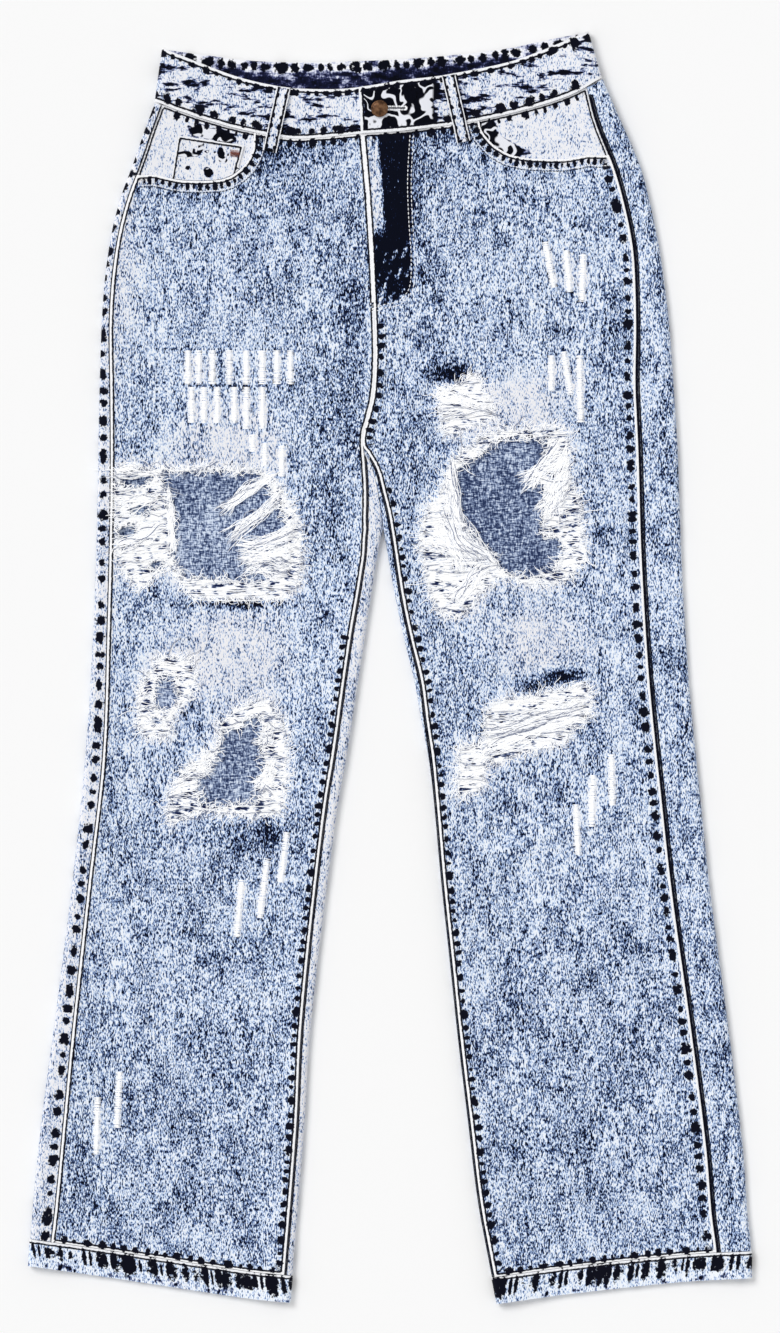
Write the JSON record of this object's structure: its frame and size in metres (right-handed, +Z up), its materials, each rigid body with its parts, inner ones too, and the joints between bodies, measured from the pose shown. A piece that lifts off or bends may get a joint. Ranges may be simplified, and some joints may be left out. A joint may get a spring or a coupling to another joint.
{
  "type": "ripped jeans",
  "caption": "High-waisted straight-leg ripped jeans lying flat, front side up, with frayed tears, pale acid-wash denim and a brown button.",
  "frame": {"origin": "on the surface that the jeans lie on, under the middle of their outline", "axes": "+Y from the hems to the waist, +X towards the wearer's left leg, +Z up off the surface and out of the front side"},
  "size_m": [0.5935, 1.0426, 0.0143],
  "materials": {
    "denim": "acid-washed twill denim with navy speckle",
    "denim_back": "acid-washed twill denim, blue-grey on its wrong side",
    "denim_pale": "nearly white bleached denim with navy marks",
    "threads": "loose off-white weft threads",
    "button": "aged brown bronze"
  },
  "bodies": {
    "root": {"front_right": "denim", "front_left": "denim", "back_right": "denim_back", "back_left": "denim_back", "yoke_right": "denim_back", "yoke_left": "denim_back", "hem_right": "denim_pale", "hem_left": "denim_pale", "waistband": "denim_pale", "pocket_facing_right": "denim_pale", "pocket_facing_left": "denim_pale", "coin_pocket": "denim_pale", "belt_loop_front_right": "denim_pale", "belt_loop_front_left": "denim_pale", "belt_loop_back_right": "denim_pale", "belt_loop_back_centre": "denim_pale", "belt_loop_back_left": "denim_pale", "button": "button", "threads_right_thigh_outer": "threads", "threads_right_thigh_inner": "threads", "threads_right_knee_small_lower": "threads", "threads_right_knee_inner": "threads", "threads_right_knee_outer": "threads", "threads_left_hip_whole": "threads", "threads_left_thigh_inner": "threads", "threads_left_thigh_outer": "threads", "threads_left_knee_whole": "threads", "threads_left_knee_small_whole": "threads"}
  },
  "joints": []
}
